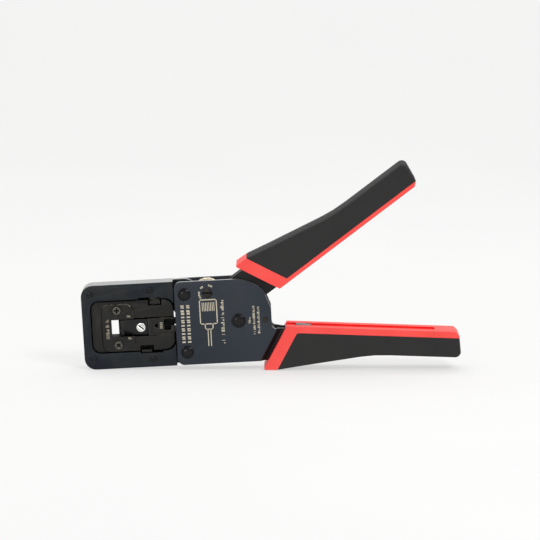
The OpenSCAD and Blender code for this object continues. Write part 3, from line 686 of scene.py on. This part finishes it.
def mark(bm, u0, u1, v0, v1, y=-FACE_Y, thick=0.03):
    prism(bm, [(u0, v0), (u1, v0), (u1, v1), (u0, v1)], y, thick)


def arc_mark(bm, centre, radius, width, a0, a1, y=-FACE_Y, thick=0.03, steps=6):
    for i in range(steps):
        a, b = (math.radians(a0 + (a1 - a0) * k / steps) for k in (i, i + 1))
        polar = ((radius, a), (radius, b), (radius + width, b), (radius + width, a))
        corners = [(centre[0] + r * math.cos(t), centre[1] + r * math.sin(t)) for r, t in polar]
        prism(bm, corners, y, thick)


def stroke(bm, points, width, y=-FACE_Y, thick=0.03):
    """A line of the given width along (u, v) points."""
    for (u0, v0), (u1, v1) in zip(points, points[1:]):
        length = math.hypot(u1 - u0, v1 - v0)
        du, dv = (u1 - u0) / length * width / 2, (v1 - v0) / length * width / 2
        prism(bm, [(u0 - dv - du, v0 + du - dv), (u0 + dv - du, v0 - du - dv),
                   (u1 + dv + du, v1 - du + dv), (u1 - dv + du, v1 + du + dv)], y, thick)


def ticks(bm, rng, u0, u1, v0, v1, y=-FACE_Y):
    """A column of short strokes that stands where small print would be, without any letters."""
    v = v0
    while v < v1 - 0.4:
        height = rng.choice((0.3, 0.35, 0.5, 0.8))
        if rng.random() > 0.12:
            inset = rng.choice((0, 0, 0.25, 0.5)) * (u1 - u0)
            mark(bm, u0 + inset, u1, v, min(v + height, v1), y)
        v += height + rng.choice((0.28, 0.34, 0.5))


def build_marks():
    """Blocks, dashes and a plain plug pictogram in the places of the print, with no letters."""
    rng = random.Random(7)
    bm = bmesh.new()
    heights = (2.1, 3.0, 1.0, 2.2, 1.0, 2.1, 1.0, 2.1, 1.0)
    gap = (25.0 - sum(heights)) / (len(heights) - 1)
    for u in (-36.5, -32.8):
        top = 12.1
        for height in heights:
            if height < 1.5:
                mark(bm, u - 1.1, u + 1.1, top - height, top)
            else:
                half = (height - 0.35) / 2
                mark(bm, u - 1.1, u + 1.0, top - half, top)
                mark(bm, u - 0.9, u + 1.1, top - height, top - height + half)
            top -= height + gap
    # a plain pictogram: a modular plug with its contacts, boot and cable
    stroke(bm, [(-25, 15), (-25, -1), (-14, -1), (-14, 15), (-25, 15)], 0.7)
    for i in range(8):
        u = -23.3 + i * 1.09
        mark(bm, u - 0.25, u + 0.25, 7.5, 13.2)
    stroke(bm, [(-22, -1), (-22, -4.5), (-17, -4.5), (-17, -1)], 0.7)
    stroke(bm, [(-20.4, -4.5), (-20.4, -15.5)], 0.6)
    stroke(bm, [(-18.6, -4.5), (-18.6, -15.5)], 0.6)
    ticks(bm, rng, -11.6, -9.4, -14.4, 14.4)
    ticks(bm, rng, 6.3, 7.7, -2.6, 2.6)
    ticks(bm, rng, 9.2, 10.7, -10.5, 10.5)
    ticks(bm, rng, 12.2, 13.7, -9, 9)
    dashes = ((52, 60), (64, 70), (74, 80), (120, 128), (132, 140),
              (165, 173), (177, 184), (188, 196), (200, 206), (209, 215))
    for a0, a1 in dashes:
        arc_mark(bm, ADJUSTER_AT, 4.8, 1.2, a0, a1, steps=2)
    new_piece("plate_marks", mesh_from(bm, "plate_marks"), "frame", "side_plate_front", ETCH)

    bm = bmesh.new()
    cover_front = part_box("die_cover_plate")[0].y / MM
    ticks(bm, rng, -87.2, -85.0, -7.9, 5.7, cover_front)
    for v in (5.9, -8.7):
        mark(bm, -73.0, -70.4, v, v + 0.5, cover_front)
        mark(bm, -73.0, -71.2, v + 0.7, v + 1.2, cover_front)
    new_piece("die_marks", mesh_from(bm, "die_marks"), "frame", "die_cover_plate", ETCH_DIM)

    bm = bmesh.new()
    slide_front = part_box("die_slide")[0].y / MM
    for v in (-2.9, -1.8, -0.7, 0.5):
        mark(bm, -51.8, -50.0, v, v + 0.8, slide_front)
    new_piece("slide_marks", mesh_from(bm, "slide_marks"), "ram", "die_slide", ETCH_DIM)


# ---------- stage ----------


def build_stage():
    """A pale sweep that runs from the floor up into the backdrop, and three soft lights."""
    bm = bmesh.new()
    bend, radius = 0.9, 0.9
    profile = [(-2.5, 0.0), (bend, 0.0)]
    profile += [(bend + radius * math.sin(a), radius - radius * math.cos(a))
                for a in (math.radians(90 * i / 16) for i in range(1, 17))]
    profile.append((bend + radius, 3.5))
    rows = [[bm.verts.new((x, y, z)) for x in (-3.5, 3.5)] for y, z in profile]
    for a, b in zip(rows, rows[1:]):
        bm.faces.new((a[0], a[1], b[1], b[0]))
    mesh = bpy.data.meshes.new("sweep")
    bm.to_mesh(mesh)
    bm.free()
    shade(mesh, 60)
    m = Nodes("studio_sweep")
    m.link(m.ramp(m.noise(3, 2), [(0.3, (0.27, 0.27, 0.27, 1)), (0.7, (0.29, 0.29, 0.285, 1))]),
           m.shader.inputs["Base Color"])
    # The sweep glows by itself, more up the backdrop than on the floor: painted light that lifts the shadows on
    # it.
    m.set(Roughness=0.8, Specular_IOR_Level=0.1, Emission_Color=(1.0, 1.0, 0.995, 1.0))
    height = m.add("ShaderNodeSeparateXYZ")
    m.link(m.place, height.inputs["Vector"])
    m.link(m.span(height.outputs["Z"], 0.565, 0.64, 0.0, 0.7), m.shader.inputs["Emission Strength"])
    mesh.materials.append(m.material)
    sweep = bpy.data.objects.new("sweep", mesh)
    bpy.context.collection.objects.link(sweep)

    world = bpy.data.worlds.new("studio")
    bpy.context.scene.world = world
    world.use_nodes = True
    background = world.node_tree.nodes["Background"]
    background.inputs["Color"].default_value = (1, 1, 1, 1)
    background.inputs["Strength"].default_value = 0.62

    def area(name, place, size_x, size_y, watts):
        data = bpy.data.lights.new(name, "AREA")
        data.shape = "RECTANGLE"
        data.size, data.size_y = size_x, size_y
        data.energy = watts
        light = bpy.data.objects.new(name, data)
        light.location = place
        light.rotation_euler = (Vector((0, 0, 0.05)) - Vector(place)).to_track_quat("-Z", "Y").to_euler()
        bpy.context.collection.objects.link(light)

    area("key", (0.75, -1.0, 1.2), 0.6, 0.5, 12)
    area("low_left", (-0.5, -1.4, 0.12), 0.14, 0.14, 1.2)
    area("top", (0.0, 0.4, 1.7), 2.2, 1.2, 18)


build_frame()
build_lever()
build_die()
build_grips()
build_marks()
build_stage()
